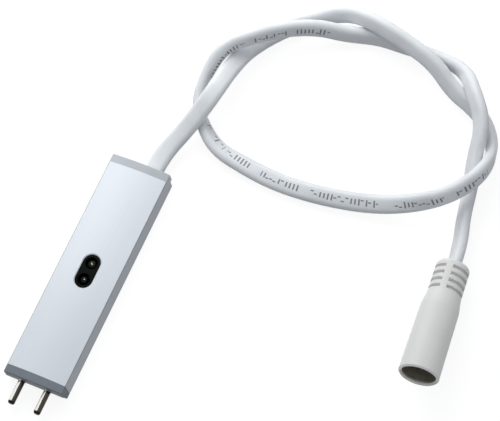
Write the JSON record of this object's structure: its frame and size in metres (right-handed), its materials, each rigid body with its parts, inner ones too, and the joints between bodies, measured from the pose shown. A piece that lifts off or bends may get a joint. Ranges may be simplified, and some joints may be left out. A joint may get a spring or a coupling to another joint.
{
  "type": "sensor switch",
  "caption": "Slim contactless sensor switch for cabinet lights: arched metal housing with an oval infrared window, contact pins at one end, and a flat cable to a round socket connector.",
  "frame": {"origin": "middle of the housing's flat back, on the surface that it lies on", "axes": "+Y along the housing towards the cable, +Z out of the sensing face, +X to its right"},
  "size_m": [0.1239, 0.1599, 0.0165],
  "materials": {
    "profile": "satin anodised",
    "cover": "matt grey",
    "cap": "satin silver grey",
    "bezel": "gloss black",
    "clear_lens": "clear epoxy",
    "dark_lens": "dark epoxy",
    "pin": "polished nickel",
    "board": "solder mask",
    "chip": "moulded",
    "capacitor": "moulded",
    "ceramic": "ceramic",
    "lead": "tinned",
    "cable": "satin off-white PVC",
    "core_red": "PVC",
    "core_black": "PVC",
    "copper": "tinned copper",
    "grip": "moulded",
    "shell": "satin off-white",
    "sleeve": "nickel plated",
    "insulator": "moulded",
    "socket_pin": "plated"
  },
  "bodies": {
    "root": {"body_profile": "profile", "base_cover": "cover", "front_end_cap": "cap", "rear_end_cap": "cap", "sensor_bezel": "bezel", "contact_pin_1": "pin", "contact_pin_2": "pin", "circuit_board": "board", "ir_emitter": "clear_lens", "ir_receiver": "dark_lens", "emitter_lead_1": "lead", "emitter_lead_2": "lead", "receiver_lead_1": "lead", "receiver_lead_2": "lead", "control_chip": "chip", "switching_transistor": "chip", "voltage_regulator": "chip", "smoothing_capacitor": "capacitor", "chip_resistor_1": "chip", "chip_resistor_2": "chip", "chip_resistor_3": "chip", "chip_capacitor_1": "ceramic", "chip_capacitor_2": "ceramic", "supply_cable": "cable", "housing_sheath": "cable", "housing_core_1": "core_red", "housing_core_2": "core_black", "housing_strand_1": "copper", "housing_strand_2": "copper", "cable_grip": "grip", "connector_shell": "shell", "socket_sleeve": "sleeve", "socket_insulator": "insulator", "socket_pin": "socket_pin", "sleeve_tag": "sleeve", "connector_sheath": "cable", "connector_core_1": "core_red", "connector_core_2": "core_black", "connector_strand_1": "copper", "connector_strand_2": "copper"}
  },
  "joints": []
}
